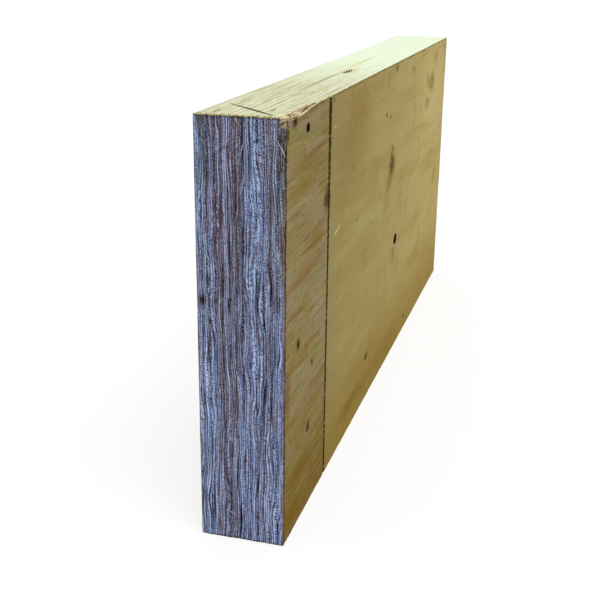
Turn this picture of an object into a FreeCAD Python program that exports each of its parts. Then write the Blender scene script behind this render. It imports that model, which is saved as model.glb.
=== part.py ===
"""Short length of laminated veneer lumber, standing on its narrow edge.

Frame: X across the thickness, Y along the length, Z up. The origin is at the middle of the
bottom edge. The near end is the one at the lowest Y. The face sheets with the open joint and
the knot holes are at the highest X.
"""
import FreeCAD, Part
import os

import Sketcher
from FreeCAD import Vector

NODE = "lvl_beam"

# Lengths in millimetres, the plies as a plain count.
# "_from_end" is measured from the near end and "_below_top" from the top edge.
DIMENSIONS = [
    ("thickness", 45, "across the plies"),
    ("depth", 220, "height of the section as it stands on edge"),
    ("length", 500, "cut length, along the grain"),
    ("plies", 13, "number of veneers in the thickness"),
    ("arris", 0.6, "rubbed edge along the four long arrises"),
    ("joint_from_end", 80, "middle of the open joint between two face sheets"),
    ("joint_gap", 2.4, "width of the open joint over its lower part"),
    ("joint_gap_top", 5, "width of the open joint at the top edge"),
    ("joint_flare", 80, "height over which the joint widens towards the top edge"),
    ("joint_depth", 1.2, "open part of the joint, less than one ply"),
    ("corner_hole_from_end", 37, "knot hole near the top of the first face sheet"),
    ("corner_hole_below_top", 10, ""),
    ("corner_hole_length", 6, "along the grain"),
    ("corner_hole_width", 4.4, "across the grain"),
    ("centre_hole_from_end", 282, "knot hole in the second face sheet"),
    ("centre_hole_below_top", 130, ""),
    ("centre_hole_length", 11, "along the grain"),
    ("centre_hole_width", 7.5, "across the grain"),
    ("hole_depth", 3.2, "depth of both knot holes, just under one ply"),
    ("edge_knot_from_end", 200, "knot lost from one ply of the top edge"),
    ("edge_knot_ply", 8, "ply that it was in, counted from the back face"),
    ("edge_knot_length", 22, "along the grain"),
    ("edge_knot_depth", 2.5, ""),
    ("torn_length", 58, "strip of face sheet torn away along the top arris at the near end"),
    ("torn_height", 2.2, "height of the torn strip"),
    ("torn_run_out", 20, "length over which the torn strip runs out to nothing"),
    ("chip_length", 8, "larger chip where the torn strip meets the near end"),
    ("chip_height", 5.5, ""),
]

# Places that several features share, as formulas over the sheet's cells.
NEAR_END = "-Dimensions.length / 2"
FACE = "Dimensions.thickness / 2"
TOP = "Dimensions.depth"


def driving_sheet(doc):
    """Spreadsheet with a named cell for each driving dimension and for the ply thickness."""
    sheet = doc.addObject("Spreadsheet::Sheet", "Dimensions")
    for row, (alias, value, note) in enumerate(DIMENSIONS, start=1):
        sheet.set(f"A{row}", alias)
        sheet.set(f"B{row}", str(value))
        sheet.set(f"C{row}", note)
        sheet.setAlias(f"B{row}", alias)
    last = len(DIMENSIONS) + 1
    sheet.set(f"A{last}", "ply")
    sheet.set(f"B{last}", "=thickness / plies")
    sheet.set(f"C{last}", "thickness of one veneer")
    sheet.setAlias(f"B{last}", "ply")
    doc.recompute()


def origin_plane(body, role):
    """Origin plane of the body, found by its role."""
    return next(item for item in body.Origin.OriginFeatures if item.Role == role)


def add_sketch(body, name, role, height=None):
    """Sketch on an origin plane, raised along the plane's normal by the height formula."""
    sketch = body.newObject("Sketcher::SketchObject", name)
    sketch.AttachmentSupport = [(origin_plane(body, role), "")]
    sketch.MapMode = "FlatFace"
    if height:
        sketch.setExpression("AttachmentOffset.Base.z", height)
    body.Document.recompute()
    return sketch


def hold(sketch, kind, elements, formula, rough):
    """Adds a dimension to the sketch and ties it to a formula."""
    index = sketch.addConstraint(Sketcher.Constraint(kind, *elements, rough))
    sketch.setExpression(f"Constraints[{index}]", formula)


def hold_point(sketch, element, vertex, across, up, rough):
    """Ties one point of the sketch to its distances from the sketch's origin."""
    hold(sketch, "DistanceX", (-1, 1, element, vertex), across, rough[0])
    hold(sketch, "DistanceY", (-1, 1, element, vertex), up, rough[1])


def add_outline(sketch, corners):
    """Closed outline of straight lines; each corner is (across formula, up formula, rough place)."""
    places = [Vector(*rough, 0) for _, _, rough in corners]
    lines = []
    for start, end in zip(places, places[1:] + places[:1]):
        lines.append(sketch.addGeometry(Part.LineSegment(start, end), False))
    for line, following in zip(lines, lines[1:] + lines[:1]):
        sketch.addConstraint(Sketcher.Constraint("Coincident", line, 2, following, 1))
    for line, (across, up, rough) in zip(lines, corners):
        hold_point(sketch, line, 1, across, up, rough)


def add_oval(sketch, across, up, length, width, rough, along_grain_is_up=False):
    """Oval with its length along the grain, which runs across the sketch or up it."""
    centre = Vector(rough[0], rough[1], 0)
    long_way = Vector(0, rough[2] / 2, 0) if along_grain_is_up else Vector(rough[2] / 2, 0, 0)
    short_way = Vector(-rough[3] / 2, 0, 0) if along_grain_is_up else Vector(0, rough[3] / 2, 0)
    oval = sketch.addGeometry(Part.Ellipse(centre + long_way, centre + short_way, centre), False)
    sketch.exposeInternalGeometry(oval)
    long_axis = oval + 1
    short_axis = oval + 2
    sketch.addConstraint(Sketcher.Constraint("Vertical" if along_grain_is_up else "Horizontal", long_axis))
    hold(sketch, "Distance", (long_axis, 1, long_axis, 2), length, rough[2])
    hold(sketch, "Distance", (short_axis, 1, short_axis, 2), width, rough[3])
    hold_point(sketch, oval, 3, across, up, rough)


def add_pocket(body, name, sketch, depth):
    """Pocket cut into the solid from the sketch, as deep as the formula gives."""
    before = body.Shape.Volume
    pocket = body.newObject("PartDesign::Pocket", name)
    pocket.Profile = sketch
    pocket.setExpression("Length", depth)
    body.Document.recompute()
    if not body.Shape.Volume < before:
        raise RuntimeError(f"{name} cuts nothing")


def add_billet(body):
    """The glued and sawn section, carried along the whole length."""
    sketch = add_sketch(body, "Section", "XZ_Plane")
    add_outline(sketch, [
        (f"-{FACE}", "0", (-20, 0)),
        (FACE, "0", (20, 0)),
        (FACE, TOP, (20, 200)),
        (f"-{FACE}", TOP, (-20, 200)),
    ])
    pad = body.newObject("PartDesign::Pad", "Billet")
    pad.Profile = sketch
    pad.Midplane = True
    pad.setExpression("Length", "Dimensions.length")
    body.Document.recompute()
    return pad


def add_arrises(body, billet):
    """The four long arrises, rubbed off."""
    long_edges = []
    for number, edge in enumerate(billet.Shape.Edges, start=1):
        run = edge.Vertexes[1].Point - edge.Vertexes[0].Point
        if abs(run.y) > abs(run.x) + abs(run.z):
            long_edges.append(f"Edge{number}")
    chamfer = body.newObject("PartDesign::Chamfer", "Arrises")
    chamfer.Base = (billet, long_edges)
    chamfer.setExpression("Size", "Dimensions.arris")
    body.Document.recompute()


def add_face_joint(body):
    """Open joint between the two face sheets: a groove from edge to edge, wider at the top."""
    beyond_edge = "Dimensions.joint_gap"
    middle = f"{NEAR_END} + Dimensions.joint_from_end"
    half_gap = "Dimensions.joint_gap / 2"
    half_top = "Dimensions.joint_gap_top / 2"
    flare_foot = f"{TOP} - Dimensions.joint_flare"
    sketch = add_sketch(body, "FaceJointOutline", "YZ_Plane", FACE)
    add_outline(sketch, [
        (f"{middle} - {half_gap}", f"-{beyond_edge}", (-172, -2)),
        (f"{middle} + {half_gap}", f"-{beyond_edge}", (-168, -2)),
        (f"{middle} + {half_gap}", flare_foot, (-168, 140)),
        (f"{middle} + {half_top}", TOP, (-167, 220)),
        (f"{middle} + {half_top}", f"{TOP} + {beyond_edge}", (-167, 222)),
        (f"{middle} - {half_top}", f"{TOP} + {beyond_edge}", (-173, 222)),
        (f"{middle} - {half_top}", TOP, (-173, 220)),
        (f"{middle} - {half_gap}", flare_foot, (-172, 140)),
    ])
    add_pocket(body, "FaceJoint", sketch, "Dimensions.joint_depth")


def add_knot_holes(body):
    """The two holes that knots have dropped out of, each in one face sheet."""
    sketch = add_sketch(body, "KnotHoleOutlines", "YZ_Plane", FACE)
    for name, rough in (("corner_hole", (-213, 210, 6, 4)), ("centre_hole", (32, 90, 11, 7))):
        cell = f"Dimensions.{name}"
        add_oval(sketch, f"{NEAR_END} + {cell}_from_end", f"{TOP} - {cell}_below_top",
                 f"{cell}_length", f"{cell}_width", rough)
    add_pocket(body, "KnotHoles", sketch, "Dimensions.hole_depth")


def add_edge_knot(body):
    """The slot that a knot has left in one ply of the top edge."""
    sketch = add_sketch(body, "EdgeKnotOutline", "XY_Plane", TOP)
    add_oval(sketch, f"(Dimensions.edge_knot_ply - 0.5) * Dimensions.ply - {FACE}",
             f"{NEAR_END} + Dimensions.edge_knot_from_end",
             "Dimensions.edge_knot_length", "Dimensions.ply", (3, -50, 22, 4), along_grain_is_up=True)
    add_pocket(body, "EdgeKnot", sketch, "Dimensions.edge_knot_depth")


def add_torn_corner(body):
    """Strip of face sheet torn away along the top arris, with a larger chip at the near end."""
    beyond_edge = "Dimensions.chip_height"
    strip_end = f"{NEAR_END} + Dimensions.torn_length"
    sketch = add_sketch(body, "TornCornerOutline", "YZ_Plane", FACE)
    add_outline(sketch, [
        (f"{NEAR_END} - {beyond_edge}", f"{TOP} + {beyond_edge}", (-255, 225)),
        (f"{NEAR_END} - {beyond_edge}", f"{TOP} - Dimensions.chip_height", (-255, 215)),
        (f"{NEAR_END} + Dimensions.chip_length / 2", f"{TOP} - Dimensions.chip_height", (-246, 215)),
        (f"{NEAR_END} + Dimensions.chip_length", f"{TOP} - Dimensions.torn_height", (-242, 218)),
        (f"{strip_end} - Dimensions.torn_run_out", f"{TOP} - Dimensions.torn_height", (-212, 218)),
        (strip_end, TOP, (-192, 220)),
        (strip_end, f"{TOP} + {beyond_edge}", (-192, 225)),
    ])
    add_pocket(body, "TornCorner", sketch, "Dimensions.ply")


def build_beam(doc):
    """The whole beam as one body."""
    body = doc.addObject("PartDesign::Body", NODE)
    body.Label = NODE
    billet = add_billet(body)
    add_arrises(body, billet)
    add_face_joint(body)
    add_knot_holes(body)
    add_edge_knot(body)
    add_torn_corner(body)
    return body


def check(doc, body):
    """Stops the build on a failed feature or a bad solid."""
    for item in doc.Objects:
        if "Invalid" in item.State or "Error" in item.State:
            raise RuntimeError(f"{item.Name} failed: {item.State}")
    shape = body.Shape
    if shape.isNull() or not shape.isValid() or len(shape.Solids) != 1:
        raise RuntimeError(f"{body.Label} is not one good solid")


def main():
    doc = FreeCAD.newDocument("LaminatedVeneerLumber")
    driving_sheet(doc)
    beam = build_beam(doc)
    doc.recompute()
    check(doc, beam)
    os.makedirs("parts", exist_ok=True)
    beam.Shape.exportStep(os.path.join("parts", f"{NODE}.step"))
    box = beam.Shape.BoundBox
    print(f"{NODE}: {box.XLength:.1f} x {box.YLength:.1f} x {box.ZLength:.1f} mm, "
          f"volume {beam.Shape.Volume:.0f} mm3, {len(beam.Shape.Faces)} faces")


main()
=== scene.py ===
import math
import random

import bpy
from mathutils import Matrix, Vector, noise


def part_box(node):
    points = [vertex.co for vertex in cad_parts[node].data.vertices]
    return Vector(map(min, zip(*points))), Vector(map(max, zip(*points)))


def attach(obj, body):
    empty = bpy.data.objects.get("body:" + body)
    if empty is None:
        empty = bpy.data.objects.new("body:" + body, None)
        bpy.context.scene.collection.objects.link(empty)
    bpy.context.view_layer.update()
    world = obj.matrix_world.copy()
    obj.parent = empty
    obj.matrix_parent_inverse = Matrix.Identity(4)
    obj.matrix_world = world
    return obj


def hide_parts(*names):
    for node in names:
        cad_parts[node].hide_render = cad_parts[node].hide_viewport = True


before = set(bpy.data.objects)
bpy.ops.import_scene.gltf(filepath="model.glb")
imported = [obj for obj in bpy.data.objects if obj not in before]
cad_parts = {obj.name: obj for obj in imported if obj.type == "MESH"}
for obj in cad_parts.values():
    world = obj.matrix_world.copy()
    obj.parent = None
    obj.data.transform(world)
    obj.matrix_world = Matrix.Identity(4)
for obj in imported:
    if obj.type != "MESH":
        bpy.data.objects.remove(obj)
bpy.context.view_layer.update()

# A short length of laminated veneer lumber standing on its narrow edge.
# X runs across the plies, Y along the grain from the near end, Z up. Lengths are in metres.
MM = 0.001
LOW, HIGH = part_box("lvl_beam")
THICKNESS, LENGTH, DEPTH = HIGH - LOW
PLIES = 13
PLY = THICKNESS / PLIES

# Open joint between the two face sheets on the +X face.
JOINT_Y = LOW.y + 80 * MM
JOINT_GAP = 2.4 * MM
JOINT_GAP_TOP = 5 * MM
JOINT_FLARE = 80 * MM
JOINT_DEPTH = 1.2 * MM
# Holes that knots have left: middle, half length along the grain, half width across it.
CORNER_HOLE = (LOW.y + 37 * MM, HIGH.z - 10 * MM, 3.0 * MM, 2.2 * MM)
CENTRE_HOLE = (LOW.y + 282 * MM, HIGH.z - 130 * MM, 5.5 * MM, 3.75 * MM)
HOLE_DEPTH = 3.2 * MM
EDGE_KNOT = (LOW.x + 7.5 * PLY, LOW.y + 200 * MM, PLY / 2, 11 * MM)
EDGE_KNOT_DEPTH = 2.5 * MM

# Strip of face sheet torn away along the top arris at the near end.
TORN_LENGTH = 58 * MM
TORN_HEIGHT = 2.2 * MM
TORN_RUN_OUT = 20 * MM
CHIP_LENGTH = 8 * MM
CHIP_HEIGHT = 5.5 * MM


# Shape of the wood

def waver(a, b, c=0.0):
    """Smooth noise from about -1 to 1 at a place given in wavelengths."""
    return noise.noise(Vector((a, b, c)))


def ramp(value, start, end):
    """0 at start, 1 at end, smooth between them and flat outside them."""
    t = min(max((value - start) / (end - start), 0.0), 1.0)
    return t * t * (3 - 2 * t)


def grid_lines(start, end, step, zones, exact=()):
    """Grid lines from start to end, closer in zones of (middle, reach, step), with some exact ones."""
    count = round((end - start) / step)
    coarse = [start + (end - start) * i / count for i in range(count + 1)]
    lines = [line for line in coarse if all(abs(line - middle) > reach for middle, reach, _ in zones)]
    for middle, reach, fine in zones:
        count = round(2 * reach / fine)
        lines += [middle - reach + 2 * reach * i / count for i in range(count + 1)]
    lines = [line for line in lines if start < line < end]
    fixed = [start, end, *exact]
    lines = [line for line in lines if all(abs(line - other) > 0.3 * MM for other in fixed)]
    kept = []
    for line in sorted(lines + fixed):
        if not kept or line in fixed or line - kept[-1] > 0.3 * MM:
            kept.append(line)
    return kept


def torn_height(y):
    """Height of the strip torn off the face sheet under the top arris, and of the chip at its end."""
    along = y - LOW.y
    strip = TORN_HEIGHT * min(max((TORN_LENGTH - along) / TORN_RUN_OUT, 0.0), 1.0)
    chip = CHIP_HEIGHT * (1 - ramp(along, CHIP_LENGTH / 2, CHIP_LENGTH * 1.2))
    return max(strip, chip) * (1 + 0.3 * waver(y / (3 * MM), 3.1))


def joint_half_gap(z):
    """Half the width of the open joint: even over its lower part, wider towards the top edge."""
    flare = max(0.0, 1 - (HIGH.z - z) / JOINT_FLARE)
    return (JOINT_GAP + (JOINT_GAP_TOP - JOINT_GAP) * flare) / 2


def oval(a, b, hole):
    """Distance from a hole's middle, 1 on its rim."""
    middle_a, middle_b, half_a, half_b = hole
    return math.hypot((a - middle_a) / half_a, (b - middle_b) / half_b)


def cut_into_face(y, z):
    """How deep the +X face is cut at a place: the joint, the two knot holes and the torn strip."""
    depth = 0.0
    if abs(y - JOINT_Y) < JOINT_GAP / 2 + 0.01 * MM:
        depth = JOINT_DEPTH
    for hole in (CORNER_HOLE, CENTRE_HOLE):
        rim = oval(y, z, hole) * (1 + 0.08 * waver(y / (2 * MM), z / (2 * MM)))
        depth = max(depth, HOLE_DEPTH * (1 - ramp(rim, 0.65, 1.0)))
    torn = torn_height(y)
    if torn > 0.2 * MM:
        depth = max(depth, 0.9 * PLY * ramp(z, HIGH.z - torn - 0.3 * MM, HIGH.z - torn + 1.3 * MM))
    return depth


def end_relief(ply, z, seed):
    """How far a sawn end lies behind its plane, in millimetres: uneven plies, gaps and fibres."""
    sheet = math.floor(min(ply, PLIES - 0.01))
    part = ply - sheet
    to_glue = min(part, 1 - part)
    glue_line = round(ply)
    pulled = 0.22 * (1 + waver(sheet * 5.7, z / (60 * MM), seed))
    gap = max(0.0, 1 - to_glue / 0.10) * max(0.0, 0.35 + waver(glue_line * 3.3, z / (26 * MM), seed + 2))
    check_at = 0.45 + 0.2 * waver(sheet * 2.9, z / (50 * MM), seed + 4)
    check = max(0.0, 1 - abs(part - check_at) / 0.16) * max(0.0, waver(sheet * 8.1, z / (24 * MM), seed + 6))
    fibre = 0.16 * waver(ply * 3.4, z / (30 * MM), seed + 8) + 0.08 * waver(ply * 7.5, z / (14 * MM), seed + 9)
    even = 0.25 + 0.75 * ramp(z - LOW.z, 0, 6 * MM)
    return max(0.0, 0.2 + (pulled + 1.5 * gap + 1.6 * check + fibre) * even)


def face_relief(y, z, seed):
    """How far a face sheet lies behind its plane, in millimetres: a peeled, slightly wavy veneer."""
    wave = 0.10 * waver(y / (70 * MM), z / (18 * MM), seed)
    ripple = 0.05 * waver(y / (9 * MM), z / (40 * MM), seed + 1)
    return max(0.0, 0.15 + wave + ripple)


def edge_relief(ply, y, seed):
    """How far a sawn long edge lies behind its plane, in millimetres: sheets a little proud or shy."""
    sheet = math.floor(min(ply, PLIES - 0.01))
    part = ply - sheet
    glue = 0.12 * max(0.0, 1 - min(part, 1 - part) / 0.08)
    step = 0.12 * (1 + waver(sheet * 6.3, y / (90 * MM), seed))
    fibre = 0.07 * waver(ply * 4.0, y / (22 * MM), seed + 1)
    return max(0.0, 0.1 + step + glue + fibre)


def arris_wear(first, second, along):
    """Rounding near an arris, from the distances to its two faces."""
    worn = max(0.0, 1 - max(first, second) / (1.4 * MM))
    return (0.30 + 0.15 * waver(along / (6 * MM), 9.4)) * worn * MM


def beam_point(x, y, z):
    """Moves a point of the plain box to its place on the real surface."""
    ply = (x - LOW.x) / PLY
    inside = min(ply, PLIES - ply)
    drift = 0.55 * MM * waver(x / (12 * MM), y / (70 * MM), z / (45 * MM))
    drift += 0.25 * MM * waver(x / (5 * MM), y / (25 * MM), z / (16 * MM))
    new_x = x + drift * ramp(inside, 0.3, 1.5)
    depth = cut_into_face(y, z)
    collar = 1.15 * PLY
    if depth > 0 and x > HIGH.x - collar:
        new_x = HIGH.x - collar + (x - HIGH.x + collar) * (1 - depth / collar)

    side = math.copysign(1.0, y - JOINT_Y)
    near_joint = 1 - ramp(abs(y - JOINT_Y), 4 * MM, 30 * MM)
    flared = side * (joint_half_gap(z) - JOINT_GAP / 2) * near_joint
    ragged = 0.45 * MM * waver(z / (8 * MM), side * 3.0)
    new_y = y + (flared + ragged * ramp(near_joint, 0.9, 1.0)) * ramp(ply, PLIES - 2.0, PLIES - 1.0)
    new_z = z

    if x in (LOW.x, HIGH.x):
        seed = 1.5 if x == HIGH.x else 21.5
        sunk = face_relief(y, z, seed) * MM + arris_wear(min(z - LOW.z, HIGH.z - z), 0, y)
        new_x += sunk if x == LOW.x else -sunk
    if y in (LOW.y, HIGH.y):
        seed = 4.5 if y == LOW.y else 34.5
        near_end = 1.0 if y == LOW.y else 0.3
        chipped = max(0.0, 0.4 + waver(ply * 0.9, seed)) * max(0.0, 1 - (HIGH.z - z) / (3 * MM)) * near_end
        frayed = max(0.0, 0.5 + waver(z / (9 * MM), seed)) * max(0.0, 1 - (PLIES - ply) / 0.3)
        sunk = (end_relief(ply, z, seed) + 1.1 * chipped + 0.8 * frayed) * MM
        new_y += sunk if y == LOW.y else -sunk
    if z in (LOW.z, HIGH.z):
        seed = 7.5 if z == HIGH.z else 47.5
        from_end = y - LOW.y
        chipped = max(0.0, 0.4 + waver(ply * 0.9, seed)) * max(0.0, 1 - from_end / (3 * MM))
        sunk = (edge_relief(ply, y, seed) + (0.7 if z == HIGH.z else 0.15) * chipped) * MM
        sunk += arris_wear(min(x - LOW.x, HIGH.x - x), 0, y)
        if z == HIGH.z:
            sunk += EDGE_KNOT_DEPTH * (1 - ramp(oval(x, y, EDGE_KNOT), 0.7, 1.1))
        new_z += sunk if z == LOW.z else -sunk
    return Vector((new_x, new_y, new_z)), ply


def box_faces(counts):
    """Quads of a box's grid, each with its four lattice corners and the side it lies on."""
    for axis in range(3):
        first, second = [other for other in range(3) if other != axis]
        for end in (0, counts[axis]):
            outward = (end > 0) == (axis != 1)
            for i in range(counts[first]):
                for j in range(counts[second]):
                    corners = []
                    for step_i, step_j in ((0, 0), (1, 0), (1, 1), (0, 1)):
                        corner = [0, 0, 0]
                        corner[axis] = end
                        corner[first] = i + step_i
                        corner[second] = j + step_j
                        corners.append(tuple(corner))
                    yield (corners if outward else corners[::-1]), axis, end


END_GRAIN, FACE_VENEER, SAWN_EDGE, HOLLOW, TORN_WOOD = range(5)


def surface_kind(axis, at_high_end, middle):
    """Which finish a quad of the plain box has."""
    if axis == 1:
        return END_GRAIN
    if axis == 2:
        in_knot = at_high_end and oval(middle.x, middle.y, EDGE_KNOT) < 0.95
        return HOLLOW if in_knot else SAWN_EDGE
    if at_high_end and cut_into_face(middle.y, middle.z) > 0.12 * PLY:
        return TORN_WOOD if middle.z > HIGH.z - torn_height(middle.y) - 1 * MM else HOLLOW
    return FACE_VENEER


def build_beam(materials):
    """The whole beam as one closed mesh, with its plies counted in an attribute for the finishes."""
    in_ply = (0, 0.07, 0.22, 0.42, 0.60, 0.78, 0.93)
    xs = [LOW.x + (sheet + part) * PLY for sheet in range(PLIES) for part in in_ply] + [HIGH.x]
    joint_edges = [JOINT_Y + side * (JOINT_GAP / 2 + out) for side in (-1, 1) for out in (0, 0.12 * MM)]
    ys = grid_lines(LOW.y, HIGH.y, 7 * MM, [
        (LOW.y + 10 * MM, 12 * MM, 1.2 * MM),
        (CORNER_HOLE[0], 6 * MM, 0.8 * MM),
        (JOINT_Y, 4 * MM, 0.8 * MM),
        (CENTRE_HOLE[0], 8 * MM, 1.0 * MM),
        (EDGE_KNOT[1], 13 * MM, 1.6 * MM),
    ], joint_edges)
    zs = grid_lines(LOW.z, HIGH.z, 2.1 * MM, [
        (HIGH.z - 6 * MM, 7 * MM, 0.7 * MM),
        (CENTRE_HOLE[1], 6 * MM, 0.8 * MM),
    ])
    lattice = (xs, ys, zs)
    counts = [len(lines) - 1 for lines in lattice]

    numbers = {}
    points = []
    plies = []
    quads = []
    kinds = []
    for corners, axis, end in box_faces(counts):
        quad = []
        for corner in corners:
            if corner not in numbers:
                numbers[corner] = len(points)
                point, ply = beam_point(*(lines[i] for lines, i in zip(lattice, corner)))
                points.append(point)
                plies.append(ply)
            quad.append(numbers[corner])
        middle = sum((Vector(lines[i] for lines, i in zip(lattice, corner)) for corner in corners),
                     Vector()) / 4
        quads.append(quad)
        kinds.append(surface_kind(axis, end > 0, middle))

    mesh = bpy.data.meshes.new("beam_wood")
    mesh.from_pydata(points, [], quads)
    for material in materials:
        mesh.materials.append(material)
    mesh.polygons.foreach_set("material_index", kinds)
    mesh.attributes.new("ply", "FLOAT", "POINT").data.foreach_set("value", plies)
    mesh.shade_smooth()
    mesh.set_sharp_from_angle(angle=math.radians(42))
    mesh.update()
    beam = bpy.data.objects.new("beam_wood", mesh)
    bpy.context.scene.collection.objects.link(beam)
    return beam


# Splinters and fibres

def add_sliver(points, quads, path, across, widest, thickest):
    """A splinter along a path of points: four-sided, widest in its middle, pointed at both ends."""
    across = across.normalized()
    first = len(points)
    last = len(path) - 1
    points.append(path[0])
    for i in range(1, last):
        run = (path[i + 1] - path[i - 1]).normalized()
        lift = across.cross(run).normalized()
        swell = math.sin(math.pi * i / last) ** 0.6
        for side in (across * widest, lift * thickest, -across * widest, -lift * thickest):
            points.append(path[i] + side * swell / 2)
    points.append(path[last])
    ring = first + 1
    for side in range(4):
        quads.append((first, ring + (side + 1) % 4, ring + side))
    for _ in range(last - 2):
        for side in range(4):
            beside = (side + 1) % 4
            quads.append((ring + side, ring + beside, ring + 4 + beside, ring + 4 + side))
        ring += 4
    for side in range(4):
        quads.append((ring + side, ring + (side + 1) % 4, ring + 4))


def bent_path(start, end, bow, steps=8):
    """Points from start to end, bowed sideways by the bow vector at the middle."""
    return [start.lerp(end, i / steps) + bow * math.sin(math.pi * i / steps) for i in range(steps + 1)]


def keep_in_box(points):
    """Splinters never stand outside the beam's own box."""
    for point in points:
        for axis in range(3):
            point[axis] = min(max(point[axis], LOW[axis]), HIGH[axis])


def sliver_piece(name, slivers, material):
    """One piece made of slivers, each (start, end, bow, across, widest, thickest)."""
    points = []
    faces = []
    for start, end, bow, across, widest, thickest in slivers:
        add_sliver(points, faces, bent_path(start, end, bow), across, widest, thickest)
    keep_in_box(points)
    mesh = bpy.data.meshes.new(name)
    mesh.from_pydata(points, [], faces)
    mesh.materials.append(material)
    mesh.shade_smooth()
    mesh.set_sharp_from_angle(angle=math.radians(35))
    piece = bpy.data.objects.new(name, mesh)
    bpy.context.scene.collection.objects.link(piece)
    return piece


def at(across, along, up):
    """A place given in millimetres from the back face, the near end and the bottom edge."""
    return Vector((LOW.x + across * MM, LOW.y + along * MM, LOW.z + up * MM))


def torn_strips():
    """Pale strips left standing where the top arris is torn."""
    up = Vector((0, 0, 1))
    flat = Vector((1, 0, 0))
    return [
        (at(44.3, 15, 217.6), at(44.5, 46, 219.4), Vector((0, 0, -0.6 * MM)), up, 1.0 * MM, 0.8 * MM),
        (at(44.5, 36, 218.9), at(44.6, 60, 219.7), Vector((0, 0, -0.2 * MM)), up, 0.6 * MM, 0.5 * MM),
        (at(43.0, 10, 218.6), at(43.4, 34, 219.2), Vector((0, 0, -0.2 * MM)), flat, 0.9 * MM, 0.6 * MM),
        (at(42.0, 16, 219.2), at(42.8, 52, 219.7), Vector((0.2 * MM, 0, 0)), flat, 0.7 * MM, 0.6 * MM),
        (at(40.4, 1, 219.4), at(41.6, 22, 219.8), Vector((0.4 * MM, 0, 0)), flat, 1.3 * MM, 0.7 * MM),
        (at(42.6, 0.6, 219.4), at(43.9, 6.6, 219.7), Vector((0, 0, 0.1 * MM)), flat, 1.8 * MM, 0.9 * MM),
        (at(43.6, 10, 219.6), at(44.3, 21, 219.8), Vector((0, 0, 0.1 * MM)), flat, 1.2 * MM, 0.7 * MM),
        (at(43.9, 9, 218.6), at(44.4, 27, 218.9), Vector((0, 0, -0.3 * MM)), up, 0.8 * MM, 0.6 * MM),
    ]


def end_splinters():
    """Long pale strands that stand out of the sawn near end."""
    up = Vector((0, 0, 1))
    side = Vector((1, 0, 0))
    return [
        (at(39.8, 0.4, 209.5), at(44.4, 0.4, 201.6), Vector((0.4 * MM, 0, 0.5 * MM)), side, 1.1 * MM, 0.8 * MM),
        (at(14.6, 0.3, 219.0), at(16.0, 0.3, 203.0), Vector((-0.2 * MM, 0, 0)), side, 0.6 * MM, 0.5 * MM),
        (at(15.8, 0.3, 205.0), at(17.6, 0.3, 176.0), Vector((0.3 * MM, 0, 0)), side, 0.7 * MM, 0.5 * MM),
        (at(17.5, 0.3, 178.0), at(17.9, 0.3, 150.0), Vector((0.2 * MM, 0, 0)), side, 0.6 * MM, 0.5 * MM),
        (at(22.8, 0.4, 182.0), at(25.8, 0.4, 196.0), Vector((-0.3 * MM, 0, 0)), side, 0.8 * MM, 0.6 * MM),
        (at(22.6, 0.4, 200.0), at(25.2, 0.4, 209.0), Vector((-0.4 * MM, 0, 0)), side, 0.7 * MM, 0.5 * MM),
    ]


def top_chips():
    """Two pinkish chips hanging from the top arris of the near end, and a stray fibre low down."""
    up = Vector((0, 0, 1))
    side = Vector((1, 0, 0))
    return [
        (at(20.3, 0.6, 219.2), at(23.2, 0.5, 214.2), Vector((-0.3 * MM, 0, 0)), side, 1.3 * MM, 0.9 * MM),
        (at(26.6, 0.6, 219.2), at(24.2, 0.5, 214.4), Vector((0.3 * MM, 0, 0)), side, 1.2 * MM, 0.9 * MM),
        (at(14.5, 0.4, 16.2), at(20.0, 0.4, 12.8), Vector((0, 0, 0.4 * MM)), up, 0.8 * MM, 0.6 * MM),
    ]


def arris_fibres(seed):
    """Short fibres raised by the saw along the top of the near end."""
    rng = random.Random(seed)
    slivers = []
    for _ in range(56):
        across = rng.uniform(1.0, 43.0)
        length = rng.uniform(1.5, 6.0)
        start = at(across, rng.uniform(0.3, 0.8), 219.6 - rng.uniform(0.0, 1.2))
        end = start + Vector((rng.uniform(-0.8, 0.8), length * 0.9, 0.3)) * MM
        slivers.append((start, end, Vector((0, 0, 0.2 * MM)), Vector((1, 0, 0)),
                        rng.uniform(0.3, 0.9) * MM, rng.uniform(0.2, 0.5) * MM))
    return slivers


def face_arris_fibres(seed):
    """Short fibres along the jointed face's side of the near end."""
    rng = random.Random(seed)
    along_grain = Vector((0, 1, 0))
    slivers = [(at(44.0, 6.0, 218.6), at(44.4, 7.0, 213.0), Vector((0.3 * MM, 0, 0)), along_grain, 4.0 * MM, 0.7 * MM)]
    for _ in range(40):
        up = rng.uniform(2, 208)
        start = at(44.2 - rng.uniform(0, 0.6), 0.5, up)
        end = start + Vector((rng.uniform(-0.4, 0.3), rng.uniform(0.0, 0.6), rng.uniform(2, 8))) * MM
        slivers.append((start, end, Vector((0, -0.2 * MM, 0)), Vector((1, 0, 0)),
                        rng.uniform(0.25, 0.5) * MM, rng.uniform(0.2, 0.4) * MM))
    return slivers


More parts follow.
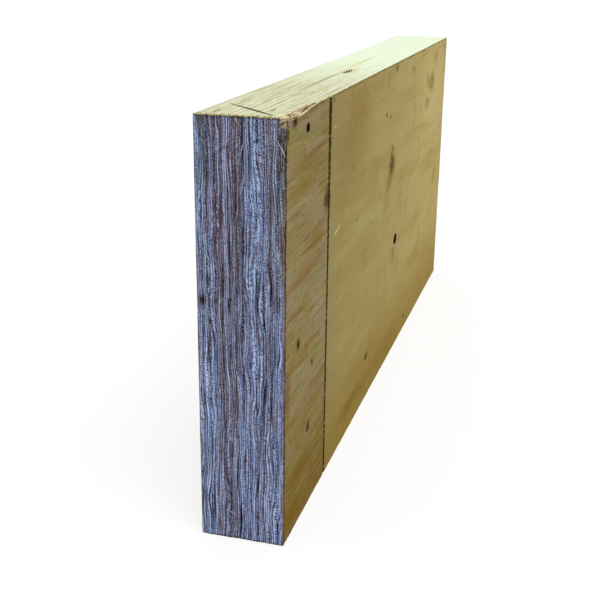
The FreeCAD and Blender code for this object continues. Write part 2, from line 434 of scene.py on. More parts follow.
def joint_chips(seed):
    """Chips and slivers of veneer standing along both edges of the open joint."""
    rng = random.Random(seed)
    up_down = Vector((0, 0, 1))
    slivers = [
        (at(44.3, 76.0, 219.5), at(44.7, 84.0, 219.4), Vector((0, 0, -0.2 * MM)), up_down, 0.8 * MM, 0.6 * MM),
        (at(44.0, 79.0, 219.7), at(44.5, 87.5, 219.6), Vector((0, 0, -0.2 * MM)), up_down, 0.7 * MM, 0.6 * MM),
    ]
    for _ in range(40):
        up = rng.uniform(20, 214)
        half_gap = joint_half_gap(LOW.z + up * MM) / MM
        side = rng.choice((-1, 1, 1))
        length = rng.uniform(0.8, 3.5)
        start = at(44.6, 80 + side * (half_gap + 0.1), up)
        end = start + Vector((0, side * length, rng.uniform(-0.5, 0.5))) * MM
        slivers.append((start, end, Vector((0.1 * MM, 0, 0)), Vector((0, 0, 1)),
                        rng.uniform(0.25, 0.7) * MM, rng.uniform(0.3, 0.5) * MM))
    return slivers


# Finishes

def hex_colour(code):
    """Linear colour from an sRGB hex code."""
    channels = [int(code[i:i + 2], 16) / 255 for i in (1, 3, 5)]
    linear = [c / 12.92 if c <= 0.04045 else ((c + 0.055) / 1.055) ** 2.4 for c in channels]
    return (*linear, 1.0)


def node(tree, kind, inputs=None, **settings):
    """Adds a node with its settings; inputs are values or the sockets that feed them."""
    new = tree.nodes.new(kind)
    for name, value in settings.items():
        setattr(new, name, value)
    for name, value in (inputs or {}).items():
        if isinstance(value, bpy.types.NodeSocket):
            tree.links.new(value, new.inputs[name])
        else:
            new.inputs[name].default_value = value
    return new


def grain(tree, place, sizes_mm, seed, detail=3.0, roughness=0.55):
    """Noise whose blotches are about sizes_mm long along the three axes of the place, from 0 to 1."""
    scaled = node(tree, "ShaderNodeVectorMath", {0: place, 1: [1 / size for size in sizes_mm]},
                  operation="MULTIPLY")
    pattern = node(tree, "ShaderNodeTexNoise",
                   {"Vector": scaled.outputs[0], "W": seed, "Scale": 1.0, "Detail": detail,
                    "Roughness": roughness}, noise_dimensions="4D")
    return pattern.outputs["Fac"]


def stain(tree, wood, colour, pattern, start, end, strength=1.0):
    """Lays a colour over the wood, from none where the pattern is start to full where it is end."""
    amount = node(tree, "ShaderNodeMapRange",
                  {"Value": pattern, "From Min": start, "From Max": end, "To Max": strength},
                  interpolation_type="SMOOTHSTEP")
    laid = node(tree, "ShaderNodeMix", {0: amount.outputs[0], 6: wood, 7: colour}, data_type="RGBA")
    return laid.outputs[2]


def spot(tree, place, middle, half_sizes):
    """Distance from a spot's middle in its own half sizes, so that its rim is at 1."""
    moved = node(tree, "ShaderNodeVectorMath", {0: place, 1: middle}, operation="SUBTRACT")
    scaled = node(tree, "ShaderNodeVectorMath",
                  {0: moved.outputs[0], 1: [1 / half for half in half_sizes]}, operation="MULTIPLY")
    return node(tree, "ShaderNodeVectorMath", {0: scaled.outputs[0]}, operation="LENGTH").outputs["Value"]


def wood_material(name):
    """Empty material with a matt wood shader; returns it, its tree, the shader and the place in mm."""
    material = bpy.data.materials.new(name)
    material.use_nodes = True
    tree = material.node_tree
    shader = tree.nodes["Principled BSDF"]
    shader.inputs["IOR"].default_value = 1.53
    shader.inputs["Specular IOR Level"].default_value = 0.35
    shader.inputs["Roughness"].default_value = 0.72
    object_place = node(tree, "ShaderNodeTexCoord").outputs["Object"]
    corner = node(tree, "ShaderNodeVectorMath", {0: object_place, 1: (LOW.x, LOW.y, LOW.z)},
                  operation="SUBTRACT")
    place = node(tree, "ShaderNodeVectorMath", {0: corner.outputs[0], 1: (1000, 1000, 1000)},
                 operation="MULTIPLY").outputs[0]
    return material, tree, shader, place


def finish_wood(tree, shader, colour, height, bump_mm):
    """Feeds the colour and a bump whose full height is bump_mm."""
    bump = node(tree, "ShaderNodeBump", {"Height": height, "Distance": bump_mm * MM, "Strength": 1.0})
    tree.links.new(colour, shader.inputs["Base Color"])
    tree.links.new(bump.outputs[0], shader.inputs["Normal"])


def ply_place(tree, place):
    """Place in mm whose X is counted in whole plies, from the mesh, so that colour follows the sheets."""
    counted = node(tree, "ShaderNodeAttribute", attribute_name="ply").outputs["Fac"]
    in_mm = node(tree, "ShaderNodeMath", {0: counted, 1: PLY / MM}, operation="MULTIPLY")
    parts = node(tree, "ShaderNodeSeparateXYZ", {0: place})
    joined = node(tree, "ShaderNodeCombineXYZ",
                  {0: in_mm.outputs[0], 1: parts.outputs[1], 2: parts.outputs[2]})
    return joined.outputs[0], counted


def mark(tree, wood, distance, rim_noise, colour, strength):
    """One knot or stain in the wood, from the distance to its middle, with an uneven soft rim."""
    uneven = node(tree, "ShaderNodeMath", {0: rim_noise, 1: 1.8, 2: distance}, operation="MULTIPLY_ADD")
    return stain(tree, wood, hex_colour(colour), uneven.outputs[0], 2.3, 1.1, strength)


def lines_in(tree, counted, wander, sway, spacing, half_width, broken):
    """Dark lines between strands, a spacing apart in plies, that sway with the wander and break off."""
    swayed = node(tree, "ShaderNodeMath", {0: wander, 1: sway, 2: counted}, operation="MULTIPLY_ADD")
    from_line = node(tree, "ShaderNodeMath", {0: swayed.outputs[0], 1: spacing / 2}, operation="PINGPONG")
    gap = node(tree, "ShaderNodeMath", {0: broken, 1: -3.0 * half_width, 2: from_line.outputs[0]},
               operation="MULTIPLY_ADD")
    line = node(tree, "ShaderNodeMapRange",
                {"Value": gap.outputs[0], "From Min": -0.5 * half_width, "From Max": -1.2 * half_width},
                interpolation_type="SMOOTHSTEP")
    return line.outputs[0]


def ply_tones(tree, counted, tones):
    """One tone for each sheet, from the back face to the jointed face."""
    share = node(tree, "ShaderNodeMath", {0: counted, 1: PLIES}, operation="DIVIDE")
    tone = node(tree, "ShaderNodeValToRGB", {0: share.outputs[0]})
    stops = tone.color_ramp
    stops.interpolation = "CONSTANT"
    while len(stops.elements) < len(tones):
        stops.elements.new(1.0)
    for i, colour in enumerate(tones):
        stops.elements[i].position = i / len(tones)
        stops.elements[i].color = hex_colour(colour)
    return tone.outputs[0]


def end_grain_material():
    """Softwood end grain, rough sawn: grey strands with dark gaps, in blue and lilac tones that are painted shade, the
    cool cast of the shaded end.
    """
    material, tree, shader, place = wood_material("end_grain_in_painted_blue_shade")
    sheets, counted = ply_place(tree, place)
    at_knot = spot(tree, place, (3.0, 0.0, 130.0), (4.0, 1000.0, 7.0))
    bend = node(tree, "ShaderNodeMapRange", {"Value": at_knot, "From Min": 2.0, "From Max": 0.4,
                                             "To Max": 2.2}, interpolation_type="SMOOTHSTEP")
    wander = grain(tree, place, (15, 60, 60), 9.0, detail=2.0)
    lean = grain(tree, place, (5, 60, 30), 12.0, detail=1.0)
    sway = node(tree, "ShaderNodeMath", {0: wander, 1: 13.0, 2: bend.outputs[0]},
                operation="MULTIPLY_ADD")
    sway = node(tree, "ShaderNodeMath", {0: lean, 1: 2.0, 2: sway.outputs[0]},
                operation="MULTIPLY_ADD")
    shift = node(tree, "ShaderNodeCombineXYZ", {0: sway.outputs[0]})
    strands = node(tree, "ShaderNodeVectorMath", {0: sheets, 1: shift.outputs[0]},
                   operation="ADD").outputs[0]
    # The blue, pale blue and lilac tones here and in the stains below are painted shade: the cool cast of the end
    # lying in shadow.
    blue, pale_blue, grey = "#8494bb", "#93a5d2", "#798089"
    mauve, lilac, brown = "#766a7c", "#8888a9", "#6a5d5d"
    swayed = node(tree, "ShaderNodeMath", {0: wander, 1: 3.7, 2: counted}, operation="MULTIPLY_ADD")
    toned = node(tree, "ShaderNodeMath", {0: swayed.outputs[0], 1: 1.85}, operation="SUBTRACT")
    upper = ply_tones(tree, toned.outputs[0], (pale_blue, grey, lilac, mauve, lilac, mauve, brown,
                                               blue, pale_blue, blue, mauve, grey, grey))
    lower = ply_tones(tree, toned.outputs[0], (blue, pale_blue, blue, mauve, lilac, mauve, blue,
                                               lilac, pale_blue, blue, lilac, pale_blue, pale_blue))
    height = node(tree, "ShaderNodeSeparateXYZ", {0: place}).outputs[2]
    patchy = grain(tree, strands, (6, 60, 40), 1.0)
    fade = node(tree, "ShaderNodeMath", {0: patchy, 1: 260.0, 2: height}, operation="MULTIPLY_ADD")
    tones = node(tree, "ShaderNodeMapRange",
                 {"Value": fade.outputs[0], "From Min": 232.0, "From Max": 300.0},
                 interpolation_type="SMOOTHSTEP")
    colour = node(tree, "ShaderNodeMix", {0: tones.outputs[0], 6: lower, 7: upper},
                  data_type="RGBA").outputs[2]
    across = node(tree, "ShaderNodeSeparateXYZ", {0: sheets}).outputs[0]
    broken = grain(tree, strands, (2, 60, 25), 13.0)
    for from_back, up, lean, half_width, half_height, tone, strength in END_STRANDS:
        slid = node(tree, "ShaderNodeMath", {0: height, 1: -lean, 2: across}, operation="MULTIPLY_ADD")
        upright = node(tree, "ShaderNodeCombineXYZ", {0: slid.outputs[0], 2: height}).outputs[0]
        inside = spot(tree, upright, (from_back - lean * up, 0.0, up), (half_width, 1000.0, half_height))
        colour = mark(tree, colour, inside, broken, tone, strength)
    hue = grain(tree, strands, (4, 60, 30), 3.0, detail=2.0)
    wide = grain(tree, strands, (1.8, 60, 95), 2.0, detail=2.0)
    thin = grain(tree, strands, (0.9, 60, 60), 4.0, detail=1.0)
    hairs = grain(tree, strands, (0.7, 60, 9), 7.0, detail=1.0)
    slip = node(tree, "ShaderNodeMath", {0: thin, 1: 2.5}, operation="MULTIPLY")
    slipped = node(tree, "ShaderNodeCombineXYZ", {2: slip.outputs[0]})
    dotted_at = node(tree, "ShaderNodeVectorMath", {0: strands, 1: slipped.outputs[0]}, operation="ADD")
    speck = grain(tree, dotted_at.outputs[0], (0.8, 60, 0.75), 5.0, detail=0.0)
    colour = stain(tree, colour, hex_colour("#735c60"), hue, 0.54, 0.66, 0.65)
    colour = stain(tree, colour, hex_colour("#6c7a7e"), hue, 0.46, 0.34, 0.5)
    colour = stain(tree, colour, hex_colour("#a9b9e6"), wide, 0.53, 0.64, 0.6)
    colour = stain(tree, colour, hex_colour("#574e5c"), wide, 0.46, 0.36, 0.35)
    colour = stain(tree, colour, hex_colour("#bcc9ec"), thin, 0.54, 0.65, 0.65)
    colour = stain(tree, colour, hex_colour("#1f1b29"), thin, 0.41, 0.33, 0.85)
    colour = stain(tree, colour, hex_colour("#c8d2ea"), hairs, 0.56, 0.68, 0.45)
    colour = stain(tree, colour, hex_colour("#221f2d"), hairs, 0.41, 0.31, 0.7)
    colour = stain(tree, colour, hex_colour("#dbe3f5"), speck, 0.57, 0.72, 0.55)
    colour = stain(tree, colour, hex_colour("#171520"), speck, 0.43, 0.29, 0.95)
    gaps = grain(tree, strands, (3, 60, 24), 6.0)
    beads = node(tree, "ShaderNodeMath", {0: speck, 1: 2.0, 2: -0.95}, operation="MULTIPLY_ADD")
    beaded = node(tree, "ShaderNodeMath", {0: gaps, 1: 0.9, 2: beads.outputs[0]}, operation="MULTIPLY_ADD")
    dotted = lines_in(tree, counted, wander, 3.7, 0.37, 0.07, beaded.outputs[0])
    colour = stain(tree, colour, hex_colour("#15111c"), dotted, 0.0, 1.0, 0.8)
    glue = lines_in(tree, counted, thin, 0.35, 1.0, 0.08, beaded.outputs[0])
    colour = stain(tree, colour, hex_colour("#120e18"), glue, 0.0, 1.0, 0.85)
    opened = node(tree, "ShaderNodeMath", {0: gaps, 1: 5.0, 2: -2.6}, operation="MULTIPLY_ADD")
    checks = lines_in(tree, counted, wander, 4.2, 1.4, 0.11, opened.outputs[0])
    colour = stain(tree, colour, hex_colour("#0e0b14"), checks, 0.0, 1.0, 0.95)
    colour = mark(tree, colour, spot(tree, place, (3.0, 0.0, 130.0), (3.2, 1000.0, 5.0)), thin, "#57524f", 0.8)
    colour = mark(tree, colour, spot(tree, place, (3.0, 0.0, 130.0), (1.7, 1000.0, 2.6)), thin, "#1f1812", 0.95)
    to_face = node(tree, "ShaderNodeMath", {0: gaps, 1: 1.4, 2: counted}, operation="MULTIPLY_ADD")
    colour = stain(tree, colour, hex_colour("#6a5c60"), to_face.outputs[0], 13.2, 13.4, 0.5)
    to_rim = node(tree, "ShaderNodeMath", {0: hairs, 1: 0.9, 2: counted}, operation="MULTIPLY_ADD")
    colour = stain(tree, colour, hex_colour("#9b8c92"), to_rim.outputs[0], 13.2, 13.3, 0.6)
    to_edge = node(tree, "ShaderNodeMath", {0: speck, 1: 0.9, 2: counted}, operation="MULTIPLY_ADD")
    colour = stain(tree, colour, hex_colour("#1d1412"), to_edge.outputs[0], 13.28, 13.36, 0.8)
    for low_z, high_z, inner, tone in END_ZONES:
        inside = spot(tree, place, (45.0, 0.0, (low_z + high_z) / 2), (inner, 1000.0, (high_z - low_z) / 2))
        colour = mark(tree, colour, inside, hairs, tone, 0.85)
    under_top = node(tree, "ShaderNodeMath", {0: speck, 1: 3.0, 2: height}, operation="MULTIPLY_ADD")
    colour = stain(tree, colour, hex_colour("#231b12"), under_top.outputs[0], 219.9, 220.6, 0.8)
    at_top = node(tree, "ShaderNodeMath", {0: thin, 1: 2.0, 2: height}, operation="MULTIPLY_ADD")
    colour = stain(tree, colour, hex_colour("#cbc28c"), at_top.outputs[0], 220.1, 220.5, 0.95)
    colour = stain(tree, colour, hex_colour("#17131a"), height, 1.3, 0.5, 0.8)
    relief = node(tree, "ShaderNodeMath", {0: speck, 1: 0.4, 2: thin}, operation="MULTIPLY_ADD").outputs[0]
    finish_wood(tree, shader, colour, relief, 0.35)
    shader.inputs["Roughness"].default_value = 0.9
    shader.inputs["Specular IOR Level"].default_value = 0.05
    return material
END_STRANDS = (
    # (across, up, lean, half width, half height, colour, strength) of the broad strands that show
    (21.1, 176, -0.02, 2.4, 42, "#4a3b43", 0.65),
    (12.9, 179, -0.02, 2.4, 17, "#523f47", 0.65),
    (27.3, 182, 0.01, 3.6, 36, "#93a5d2", 0.6),
    (15.0, 28, -0.14, 3.0, 26, "#4f3f4a", 0.7),
    (26.3, 27, 0.04, 5.5, 28, "#8095cc", 0.6),
    (34.3, 86, 0.08, 2.0, 34, "#474050", 0.65),
    (40.0, 90, 0.075, 2.8, 42, "#8a9dd0", 0.6),
    (39.5, 160, 0.03, 1.8, 14, "#9db0dd", 0.65),
    (25.0, 96, 0.06, 2.2, 26, "#8799cc", 0.5),
    (2.2, 148, 0.0, 2.0, 13, "#8b9cc8", 0.5),
)
END_ZONES = (
    # (from height, to height, reach from the jointed face, colour) of stains along that arris
    (190, 216, 3.0, "#21150f"),
    (148, 173, 3.4, "#4a352c"),
    (84, 141, 1.2, "#8f7f86"),
    (94, 112, 1.9, "#4a3440"),
    (14, 34, 1.5, "#7d6468"),
)
FACE_MARKS = (
    # (along, below the top, half length, half height, colour, strength)
    (32, 22.5, 0.9, 3.6, "#57491a", 0.9),
    (75.5, 53.5, 6.5, 7.5, "#523808", 1.0),
    (23.0, 117.1, 3.2, 3.5, "#241600", 1.0),
    (50.4, 137.2, 1.9, 2.4, "#3a2404", 1.0),
    (43.7, 171.3, 3.3, 3.2, "#1e1000", 1.0),
    (38, 27, 34, 5.0, "#7b601a", 0.6),
    (30, 37.5, 26, 4.0, "#7e6426", 0.55),
    (58, 70, 14, 4.4, "#7b601a", 0.6),
    (30, 83, 26, 4.0, "#7b5e1a", 0.6),
    (5, 138, 5, 14, "#745022", 0.7),
    (30, 189, 26, 6.0, "#72560e", 0.6),
    (12, 208, 18, 7.0, "#76580e", 0.8),
    (60, 160, 24, 5.0, "#7c601a", 0.45),
    (8.5, 4.2, 3.0, 2.4, "#85765e", 0.8),
    (14.0, 4.2, 4.0, 2.6, "#33240a", 0.95),
    (3.0, 8, 2.0, 4.5, "#4a300e", 0.9),
    (258.2, 58.2, 3.0, 2.4, "#5a4412", 0.95),
    (258.5, 70, 10.5, 9.5, "#5a3d12", 0.95),
    (249, 81, 9, 7, "#8b6414", 0.75),
    (241, 93, 11, 9, "#97742c", 0.5),
    (276, 141, 8, 9, "#8c6c12", 0.55),
    (290, 152, 12, 9, "#9a7a38", 0.35),
    (281.8, 130.1, 10, 6.5, "#bba78e", 0.45),
    (263.3, 4.0, 7.0, 2.4, "#5c491a", 0.75),
    (236, 9.0, 6, 7.0, "#8a7638", 0.4),
    (332, 12, 9, 3.4, "#8a6e30", 0.6),
    (232.4, 31.7, 4.2, 2.0, "#7a5822", 0.85),
    (246.7, 35.0, 4.2, 2.0, "#7a5822", 0.85),
    (190.5, 188.5, 5.0, 3.0, "#4f3a08", 1.0),
    (334.2, 208.5, 4.5, 2.0, "#504510", 0.9),
    (151, 83, 1.6, 1.1, "#57430f", 0.9),
    (196.3, 97.4, 1.8, 1.0, "#57430f", 0.9),
    (217.5, 84.5, 1.8, 1.0, "#57430f", 0.8),
    (136.7, 48.3, 2.6, 1.6, "#6a511a", 0.7),
    (130, 34, 50, 34, "#85713c", 0.5),
    (440, 42, 70, 44, "#c6b67c", 0.5),
    (150, 16, 30, 12, "#8a6a30", 0.4),
    (146, 202.5, 36, 6.0, "#704f0a", 0.45),
    (240, 206, 80, 10, "#705a10", 0.25),
    (461, 118, 12, 9, "#99702c", 0.45),
    (402, 27, 7, 6, "#8a6c22", 0.6),
    (424, 31, 15, 8.5, "#7d611a", 0.75),
    (424, 31, 5, 2.6, "#b9a462", 0.7),
    (404, 46, 13, 5.5, "#8a6c2e", 0.6),
    (402, 47, 5, 2.0, "#b3a05e", 0.6),
    (440, 12, 14, 6, "#9a7c30", 0.6),
    (87, 3.0, 1.6, 2.0, "#2f2408", 0.8),
    (91.0, 17.9, 2.2, 1.0, "#c2b98c", 0.6),
)


def face_veneer_material():
    """Rotary-peeled softwood veneer, unfinished: khaki tan, soft lengthwise grain and small knots."""
    material, tree, shader, place = wood_material("peeled_face_veneer")
    parts = node(tree, "ShaderNodeSeparateXYZ", {0: place})
    height = parts.outputs[2]
    on_back = node(tree, "ShaderNodeMath", {0: parts.outputs[0], 1: 22.5}, operation="LESS_THAN")
    along = node(tree, "ShaderNodeMath", {0: on_back.outputs[0], 1: 150.0, 2: parts.outputs[1]},
                 operation="MULTIPLY_ADD").outputs[0]
    clouds = grain(tree, place, (40, 50, 20), 1.0, detail=1.0)
    bands = grain(tree, place, (40, 90, 7), 2.0, detail=2.0)
    streaks = grain(tree, place, (40, 40, 1.8), 3.0, detail=2.0)
    mottle = grain(tree, place, (40, 6, 4.0), 8.0, detail=2.0)
    fine = grain(tree, place, (40, 3, 0.9), 4.0, detail=1.0)
    across = grain(tree, place, (40, 24, 34), 9.0, detail=2.0)
    blotches = grain(tree, place, (40, 120, 15), 14.0, detail=3.0)
    colour = stain(tree, hex_colour("#8c7c4a"), hex_colour("#928060"), clouds, 0.42, 0.58)
    colour = stain(tree, colour, hex_colour("#827f4e"), bands, 0.48, 0.36, 0.65)
    colour = stain(tree, colour, hex_colour("#7d6028"), bands, 0.53, 0.66, 0.65)
    colour = stain(tree, colour, hex_colour("#775d1c"), height, 90.0, 0.0, 0.9)
    colour = stain(tree, colour, hex_colour("#6a5220"), streaks, 0.53, 0.68, 0.5)
    colour = stain(tree, colour, hex_colour("#a99c68"), streaks, 0.46, 0.32, 0.35)
    colour = stain(tree, colour, hex_colour("#6d5826"), mottle, 0.54, 0.70, 0.4)
    colour = stain(tree, colour, hex_colour("#b0a27c"), mottle, 0.46, 0.32, 0.15)
    colour = stain(tree, colour, hex_colour("#5c4a1e"), fine, 0.56, 0.72, 0.45)
    far = stain(tree, hex_colour("#9c8b56"), hex_colour("#b4a266"), along, 90.0, 440.0)
    far = stain(tree, far, hex_colour("#957c3e"), blotches, 0.50, 0.68, 0.42)
    far = stain(tree, far, hex_colour("#aaa369"), blotches, 0.50, 0.32, 0.5)
    far = stain(tree, far, hex_colour("#96783f"), across, 0.50, 0.76, 0.35)
    far = stain(tree, far, hex_colour("#8a7038"), streaks, 0.54, 0.72, 0.3)
    far = stain(tree, far, hex_colour("#8d865a"), along, 112.0, 84.0, 0.7)
    far = stain(tree, far, hex_colour("#8a6c1c"), height, 80.0, 0.0, 0.65)
    far = stain(tree, far, hex_colour("#8f7438"), mottle, 0.54, 0.72, 0.3)
    far = stain(tree, far, hex_colour("#80682e"), fine, 0.56, 0.72, 0.25)
    colour = stain(tree, colour, far, along, 79.5, 80.5)
    for from_end, below, half_length, half_height, tone, strength in FACE_MARKS:
        distance = spot(tree, place, (45.0, from_end, 220.0 - below), (25.0, half_length, half_height))
        colour = mark(tree, colour, distance, mottle, tone, strength)
    scratch = node(tree, "ShaderNodeVectorRotate", {"Vector": place, "Center": (45.0, 100.6, 142.9),
                                                    "Angle": math.radians(-9.5)}, rotation_type="X_AXIS")
    colour = stain(tree, colour, hex_colour("#dcd4a6"),
                   spot(tree, scratch.outputs[0], (45.0, 100.6, 142.9), (25.0, 7.5, 0.6)), 1.2, 0.7, 0.6)
    # Knot holes: a pale pinkish rim, then near-black at the lip, which is painted shade of the deep hole.
    for from_end, up, half_length, half_height in ((37.0, 210.0, 3.0, 2.2), (282.0, 90.0, 5.5, 3.75)):
        hole = spot(tree, place, (45.0, from_end, up), (25.0, half_length, half_height))
        colour = stain(tree, colour, hex_colour("#7a6468"), hole, 1.6, 1.25, 0.25)
        colour = stain(tree, colour, hex_colour("#140508"), hole, 1.15, 1.0)
    # A dark brown rim along both edges of the open joint: partly dark glue, partly painted shade of the gap that
    # widens its dark line.
    half_gap = node(tree, "ShaderNodeMapRange", {"Value": height, "From Min": 140.0, "From Max": 220.0,
                                                 "To Min": 1.2, "To Max": 2.5})
    from_joint = node(tree, "ShaderNodeMath", {0: along, 1: 80.0}, operation="SUBTRACT")
    across_joint = node(tree, "ShaderNodeMath", {0: from_joint.outputs[0]}, operation="ABSOLUTE")
    beyond = node(tree, "ShaderNodeMath", {0: across_joint.outputs[0], 1: half_gap.outputs[0]},
                  operation="SUBTRACT")
    chips = grain(tree, place, (40, 2.5, 2.2), 7.0, detail=2.0)
    rim = node(tree, "ShaderNodeMath", {0: chips, 1: -4.5, 2: beyond.outputs[0]},
               operation="MULTIPLY_ADD").outputs[0]
    colour = stain(tree, colour, hex_colour("#463010"), rim, -1.2, -2.1, 0.92)
    near_end = node(tree, "ShaderNodeMath", {0: chips, 1: -7.0, 2: along}, operation="MULTIPLY_ADD")
    colour = stain(tree, colour, hex_colour("#43321a"), near_end.outputs[0], -1.4, -2.6, 0.85)
    under_arris = node(tree, "ShaderNodeMath", {0: mottle, 1: 4.0, 2: height}, operation="MULTIPLY_ADD")
    colour = stain(tree, colour, hex_colour("#6a5f2a"), under_arris.outputs[0], 219.8, 221.4, 0.75)
    relief = node(tree, "ShaderNodeMath", {0: fine, 1: streaks}, operation="ADD").outputs[0]
    finish_wood(tree, shader, colour, relief, 0.10)
    shader.inputs["Specular IOR Level"].default_value = 0.02
    return material


def sawn_edge_material():
    """Long edge sawn through all the sheets: pale yellow-green wood with fine lengthwise lines."""
    material, tree, shader, place = wood_material("sawn_long_edge")
    strands, counted = ply_place(tree, place)
    along = node(tree, "ShaderNodeSeparateXYZ", {0: place}).outputs[1]
    pale, straw, green = "#dfe0b9", "#dcd6ac", "#d6dcb2"
    colour = ply_tones(tree, counted, (green, pale, straw, pale, green, straw, pale,
                                       green, pale, straw, green, pale, straw))
    soft = grain(tree, strands, (5, 45, 20), 2.0)
    fibres = grain(tree, strands, (0.9, 70, 20), 1.0, detail=2.0)
    hairs = grain(tree, strands, (0.75, 12, 20), 3.0, detail=2.0)
    fuzz = grain(tree, strands, (0.9, 2.2, 20), 5.0, detail=1.0)
    broken = grain(tree, strands, (3, 25, 20), 4.0)
    colour = stain(tree, colour, hex_colour("#c9b887"), soft, 0.55, 0.68, 0.55)
    colour = stain(tree, colour, hex_colour("#c6d29a"), soft, 0.45, 0.33, 0.5)
    colour = stain(tree, colour, hex_colour("#9f9560"), fibres, 0.54, 0.68, 0.85)
    colour = stain(tree, colour, hex_colour("#fafcf0"), fibres, 0.46, 0.34, 0.75)
    colour = stain(tree, colour, hex_colour("#7a7546"), hairs, 0.56, 0.70, 0.65)
    colour = stain(tree, colour, hex_colour("#fbfbea"), hairs, 0.44, 0.32, 0.5)
    colour = stain(tree, colour, hex_colour("#8f8a5c"), fuzz, 0.56, 0.72, 0.5)
    glue = lines_in(tree, counted, fibres, 0.3, 1.0, 0.07, broken)
    colour = stain(tree, colour, hex_colour("#8f8758"), glue, 0.0, 1.0, 0.6)
    # Painted light: paler towards the far end, for the over-bright far part of the top.
    colour = stain(tree, colour, hex_colour("#f2ffe4"), along, 60.0, 290.0, 0.84)
    fray = node(tree, "ShaderNodeMath", {0: hairs, 1: -14.0, 2: along}, operation="MULTIPLY_ADD")
    colour = stain(tree, colour, hex_colour("#8c7c3c"), fray.outputs[0], -3.5, -7.0, 0.8)
    from_seam = spot(tree, place, (23.6, 145.0, 220.0), (1.5, 62.0, 25.0))
    colour = mark(tree, colour, from_seam, fibres, "#a8935a", 0.8)
    tail = spot(tree, place, (22.0, 250.0, 220.0), (1.8, 40.0, 25.0))
    colour = mark(tree, colour, tail, hairs, "#dcd484", 0.8)
    halo = spot(tree, place, (27.5, 197.0, 220.0), (4.0, 16.0, 25.0))
    colour = mark(tree, colour, halo, hairs, "#d8cc7e", 0.75)
    knot = spot(tree, place, (26.6, 192.0, 220.0), (1.7, 8.5, 25.0))
    rim = node(tree, "ShaderNodeMath", {0: fuzz, 1: 0.9, 2: knot}, operation="MULTIPLY_ADD")
    colour = stain(tree, colour, hex_colour("#2c2208"), rim.outputs[0], 1.55, 1.3)
    # Painted shade: a dark mark for a small pit in the top, which has no hollow in the mesh.
    pit = spot(tree, place, (43.7, 8.0, 220.0), (0.8, 2.4, 25.0))
    colour = mark(tree, colour, pit, fuzz, "#2a2010", 0.95)
    lit = node(tree, "ShaderNodeMath", {0: hairs, 1: 0.5, 2: counted}, operation="MULTIPLY_ADD")
    colour = stain(tree, colour, hex_colour("#fdf7d2"), lit.outputs[0], 13.0, 13.1, 0.8)
    nick = node(tree, "ShaderNodeMath", {0: fuzz, 1: 0.8, 2: counted}, operation="MULTIPLY_ADD")
    colour = stain(tree, colour, hex_colour("#6f6a34"), nick.outputs[0], 13.28, 13.38, 0.8)
    finish_wood(tree, shader, colour, fibres, 0.15)
    shader.inputs["Specular IOR Level"].default_value = 0.1
    return material


def hollow_material():
    """Walls and floor of the joint and the knot holes: dark resin, glue and grime, with painted shade of these deep
    recesses laid over them.
    """
    material, tree, shader, place = wood_material("dark_hollow")
    dirt_and_shade = grain(tree, place, (3, 6, 5), 1.0, detail=2.0)
    # Painted shade: the recesses are coloured dark brown to stand for the shade deep inside them, partly also glue and
    # grime.
    colour = stain(tree, hex_colour("#2e1c08"), hex_colour("#5a3c14"), dirt_and_shade, 0.50, 0.68)
    finish_wood(tree, shader, colour, dirt_and_shade, 0.3)
    shader.inputs["Roughness"].default_value = 0.9
    shader.inputs["Specular IOR Level"].default_value = 0.0
    return material


def torn_wood_material():
    """Wood laid bare where the face sheet tore off: pinkish brown with pale fibres."""
    material, tree, shader, place = wood_material("torn_wood")
    fibres = grain(tree, place, (1.2, 22, 1.2), 1.0)
    colour = stain(tree, hex_colour("#a08a72"), hex_colour("#dcd2ae"), fibres, 0.52, 0.66)
    colour = stain(tree, colour, hex_colour("#5a4430"), fibres, 0.46, 0.34, 0.85)
    finish_wood(tree, shader, colour, fibres, 0.4)
    shader.inputs["Specular IOR Level"].default_value = 0.05
    return material


def splinter_material(name, light, dark):
    """Loose fibres and splinters in one pair of tones."""
    material, tree, shader, place = wood_material(name)
    fibres = grain(tree, place, (0.8, 3, 0.8), 1.0)
    colour = stain(tree, hex_colour(dark), hex_colour(light), fibres, 0.35, 0.6)
    finish_wood(tree, shader, colour, fibres, 0.1)
    return material


# Floor, light and camera

def add_floor():
    """Plain pale floor that runs out of the picture, as white as the paper where no shadow falls."""
    reach = 12.0
    corners = [(-reach, -reach, 0), (reach, -reach, 0), (reach, reach, 0), (-reach, reach, 0)]
    mesh = bpy.data.meshes.new("floor")
    mesh.from_pydata(corners, [], [(0, 1, 2, 3)])
    material = bpy.data.materials.new("pale_floor")
    material.use_nodes = True
    tree = material.node_tree
    shader = tree.nodes["Principled BSDF"]
    shader.inputs["Base Color"].default_value = hex_colour("#fbfbfb")
    shader.inputs["Roughness"].default_value = 1.0
    shader.inputs["Specular IOR Level"].default_value = 0.0
    ray = node(tree, "ShaderNodeLightPath").outputs
    mirrored = node(tree, "ShaderNodeMath", {0: ray["Is Glossy Ray"], 1: ray["Is Transmission Ray"]},
                    operation="MAXIMUM")
    seen = node(tree, "ShaderNodeMath", {0: ray["Is Camera Ray"], 1: mirrored.outputs[0]},
                operation="MAXIMUM")
    share = node(tree, "ShaderNodeMath", {0: seen.outputs[0], 1: 0.72}, operation="MULTIPLY")
    white = node(tree, "ShaderNodeEmission", {"Strength": 1.05})
    paper = node(tree, "ShaderNodeMixShader", {0: share.outputs[0], 1: shader.outputs[0], 2: white.outputs[0]})
    tree.links.new(paper.outputs[0], tree.nodes["Material Output"].inputs["Surface"])
    mesh.materials.append(material)
    floor = bpy.data.objects.new("floor", mesh)
    bpy.context.scene.collection.objects.link(floor)


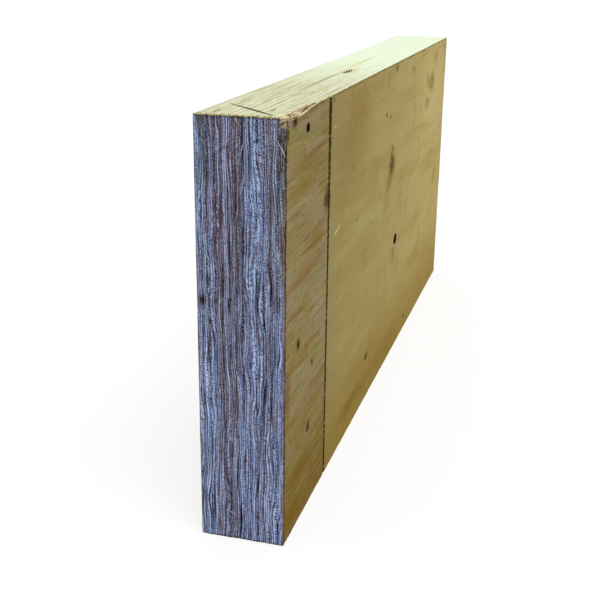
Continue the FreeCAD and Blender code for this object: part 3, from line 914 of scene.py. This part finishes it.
def add_light():
    """Even pale surroundings and one soft lamp from the upper right."""
    world = bpy.data.worlds.new("studio")
    world.use_nodes = True
    background = world.node_tree.nodes["Background"]
    background.inputs["Color"].default_value = (1.0, 1.0, 1.0, 1.0)
    background.inputs["Strength"].default_value = 0.72
    bpy.context.scene.world = world
    lamp = bpy.data.lights.new("soft_lamp", "SUN")
    lamp.energy = 1.1
    lamp.angle = math.radians(30)
    lamp_object = bpy.data.objects.new("soft_lamp", lamp)
    towards = Vector((0.35, -0.30, 0.89))
    lamp_object.rotation_euler = towards.to_track_quat("Z", "Y").to_euler()
    bpy.context.scene.collection.objects.link(lamp_object)


CAMERA_PLACE = Vector((150.5, -676.9, 288.5)) * MM
CAMERA_FORWARD = Vector((-0.25754, 0.90950, -0.32632))
CAMERA_ROLL = math.radians(0.676)
LENS_MM = 60.06


def add_camera():
    """Camera at the photograph's viewing angle: before the near end, above it and to the right."""
    camera = bpy.data.cameras.new("camera")
    camera.sensor_width = 36.0
    camera.lens = LENS_MM
    camera.clip_end = 60.0
    camera_object = bpy.data.objects.new("camera", camera)
    turn = CAMERA_FORWARD.to_track_quat("-Z", "Y").to_matrix().to_4x4()
    camera_object.matrix_world = (Matrix.Translation(CAMERA_PLACE) @ turn
                                  @ Matrix.Rotation(CAMERA_ROLL, 4, "Z"))
    bpy.context.scene.collection.objects.link(camera_object)
    bpy.context.scene.camera = camera_object


def main():
    bpy.context.scene.view_settings.view_transform = "Standard"
    beam = build_beam([end_grain_material(), face_veneer_material(), sawn_edge_material(),
                       hollow_material(), torn_wood_material()])
    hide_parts("lvl_beam")
    pale = splinter_material("pale_torn_fibre", "#efe6b8", "#b8a878")
    dark = splinter_material("weathered_splinter", "#584820", "#30240e")
    lilac = splinter_material("greyed_strand", "#a09bb8", "#6f6a80")
    pink = splinter_material("pinkish_chip", "#a5949a", "#7a6a70")
    straw = splinter_material("straw_fibre", "#d3cb95", "#8a7b48")
    brown = splinter_material("brown_fibre", "#a08a78", "#4b3424")
    flat = Vector((1, 1, 0))
    top_stick = [
        (at(9.0, 31.5, 219.95), at(34.2, 7.8, 219.95), Vector((0.3 * MM, 0.3 * MM, 0)), flat, 1.7 * MM, 0.8 * MM),
        (at(5.6, 35.8, 219.9), at(12.0, 28.6, 219.95), Vector((-0.3 * MM, 0, 0)), flat, 0.7 * MM, 0.5 * MM),
        (at(29.0, 13.0, 219.9), at(37.4, 4.6, 219.8), Vector((0.2 * MM, 0, 0)), flat, 1.1 * MM, 0.8 * MM),
        (at(32.4, 16.0, 219.9), at(31.6, 26.4, 219.9), Vector((0.4 * MM, 0, 0)), flat, 0.6 * MM, 0.6 * MM),
        (at(7.9, 3.6, 219.85), at(7.5, 17.5, 219.85), Vector((0.3 * MM, 0, 0)), flat, 0.7 * MM, 0.6 * MM),
    ]
    pieces = [
        beam,
        sliver_piece("top_splinter", top_stick, dark),
        sliver_piece("torn_strips", torn_strips(), pale),
        sliver_piece("end_splinters", end_splinters(), lilac),
        sliver_piece("top_chips", top_chips(), pink),
        sliver_piece("arris_fibres", arris_fibres(5), straw),
        sliver_piece("face_arris_fibres", face_arris_fibres(6), brown),
        sliver_piece("joint_chips", joint_chips(8), straw),
    ]
    for piece in pieces:
        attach(piece, "root")
    add_floor()
    add_light()
    add_camera()


main()
